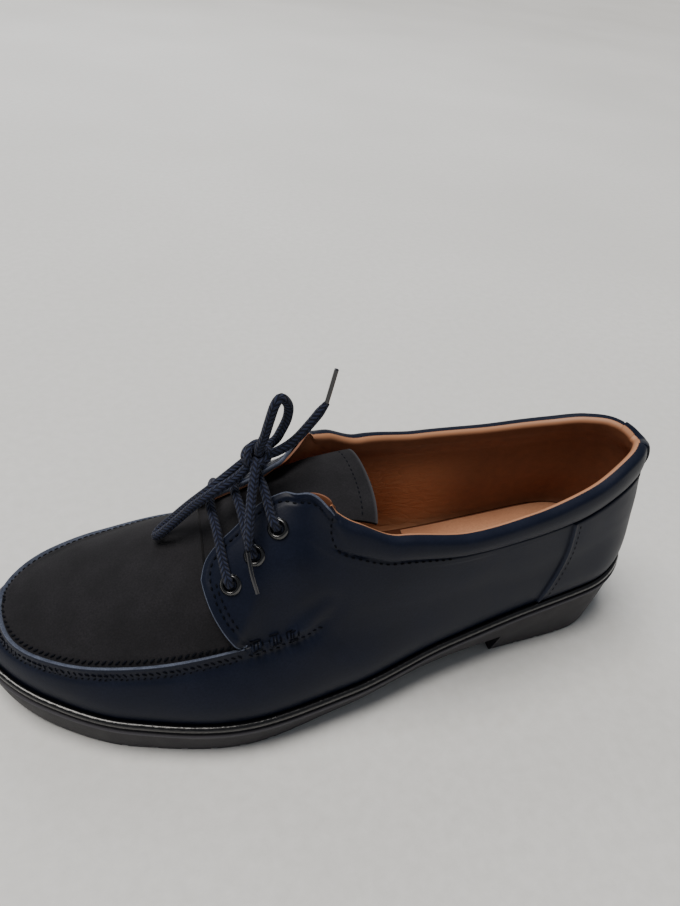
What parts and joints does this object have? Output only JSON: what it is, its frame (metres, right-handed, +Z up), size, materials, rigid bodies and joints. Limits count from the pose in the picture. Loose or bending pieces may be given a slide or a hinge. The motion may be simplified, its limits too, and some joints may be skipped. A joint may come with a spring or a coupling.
{
  "type": "low lace-up moccasin-toe shoe",
  "caption": "Low lace-up leather shoe for the left foot, with a moccasin toe, padded collar, laced facings tied in a bow, and a low-heeled rubber sole.",
  "frame": {"origin": "centre of the shoe's outline, on the floor that the sole stands on", "axes": "+X from the toe to the heel, +Y towards the inner (medial) side, +Z up"},
  "size_m": [0.262, 0.0952, 0.1296],
  "materials": {
    "navy_leather": "satin full-grain leather, very dark navy",
    "black_nubuck": "matt nubuck, charcoal black",
    "black_rubber": "satin moulded rubber, black",
    "welt_gloss": "glossy moulded rubber, black",
    "tan_insole": "matt lining leather, tan brown",
    "tan_sock": "smooth satin sock leather, tan brown",
    "black_enamel": "gloss black enamel",
    "navy_lace": "braided cord, dark navy",
    "clear_tag": "smoky plastic lace tag"
  },
  "bodies": {
    "root": {"outsole": "black_rubber", "welt": "welt_gloss", "upper": "navy_leather", "tongue": "black_nubuck", "insole": "tan_insole", "heel_pad": "tan_sock", "eyelet_lateral_1": "black_enamel", "eyelet_lateral_2": "black_enamel", "eyelet_lateral_3": "black_enamel", "eyelet_medial_1": "black_enamel", "eyelet_medial_2": "black_enamel", "eyelet_medial_3": "black_enamel", "lace_bar_1": "navy_lace", "lace_bar_2": "navy_lace", "lace_bar_3": "navy_lace", "lace_knot": "navy_lace", "lace_loop_front": "navy_lace", "lace_loop_up": "navy_lace", "lace_end_1": "navy_lace", "lace_end_2": "navy_lace", "aglet_1": "clear_tag", "aglet_2": "clear_tag"}
  },
  "joints": []
}
